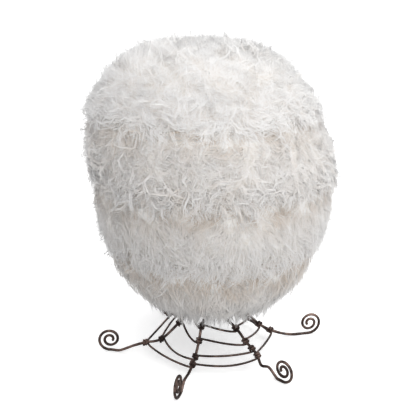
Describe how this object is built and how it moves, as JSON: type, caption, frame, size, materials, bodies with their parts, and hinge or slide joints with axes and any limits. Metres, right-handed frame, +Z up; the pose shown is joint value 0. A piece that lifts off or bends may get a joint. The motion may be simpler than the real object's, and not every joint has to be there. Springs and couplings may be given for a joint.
{
  "type": "turkmen telpek hat on wire display stand",
  "caption": "Tall round shaggy white sheepskin hat in overhanging tiers of wool, hollow and open below, on a dark bent-wire web stand with upright spiral feet.",
  "frame": {"origin": "on the floor, under the middle of the whole hat and stand", "axes": "+Z up, from the floor to the top of the crown; -Y is the side that faces the viewer in the picture, +X to the viewer's right"},
  "size_m": [0.2939, 0.2914, 0.382],
  "materials": {
    "white_wool": "long shaggy natural sheep's wool, matt, warm cream in its depth",
    "sheepskin_leather": "raw suede side of a sheepskin",
    "dark_wire": "dark oxidised bronze, satin"
  },
  "bodies": {
    "root": {"hide": "sheepskin_leather", "crown_fleece": "white_wool", "upper_fleece": "white_wool", "middle_fleece": "white_wool", "lower_fleece": "white_wool", "leg_a": "dark_wire", "leg_b": "dark_wire", "leg_c": "dark_wire", "leg_d": "dark_wire", "leg_e": "dark_wire", "leg_f": "dark_wire", "web_ring": "dark_wire", "web_spiral": "dark_wire", "leg_collar": "dark_wire", "post": "dark_wire"}
  },
  "joints": []
}
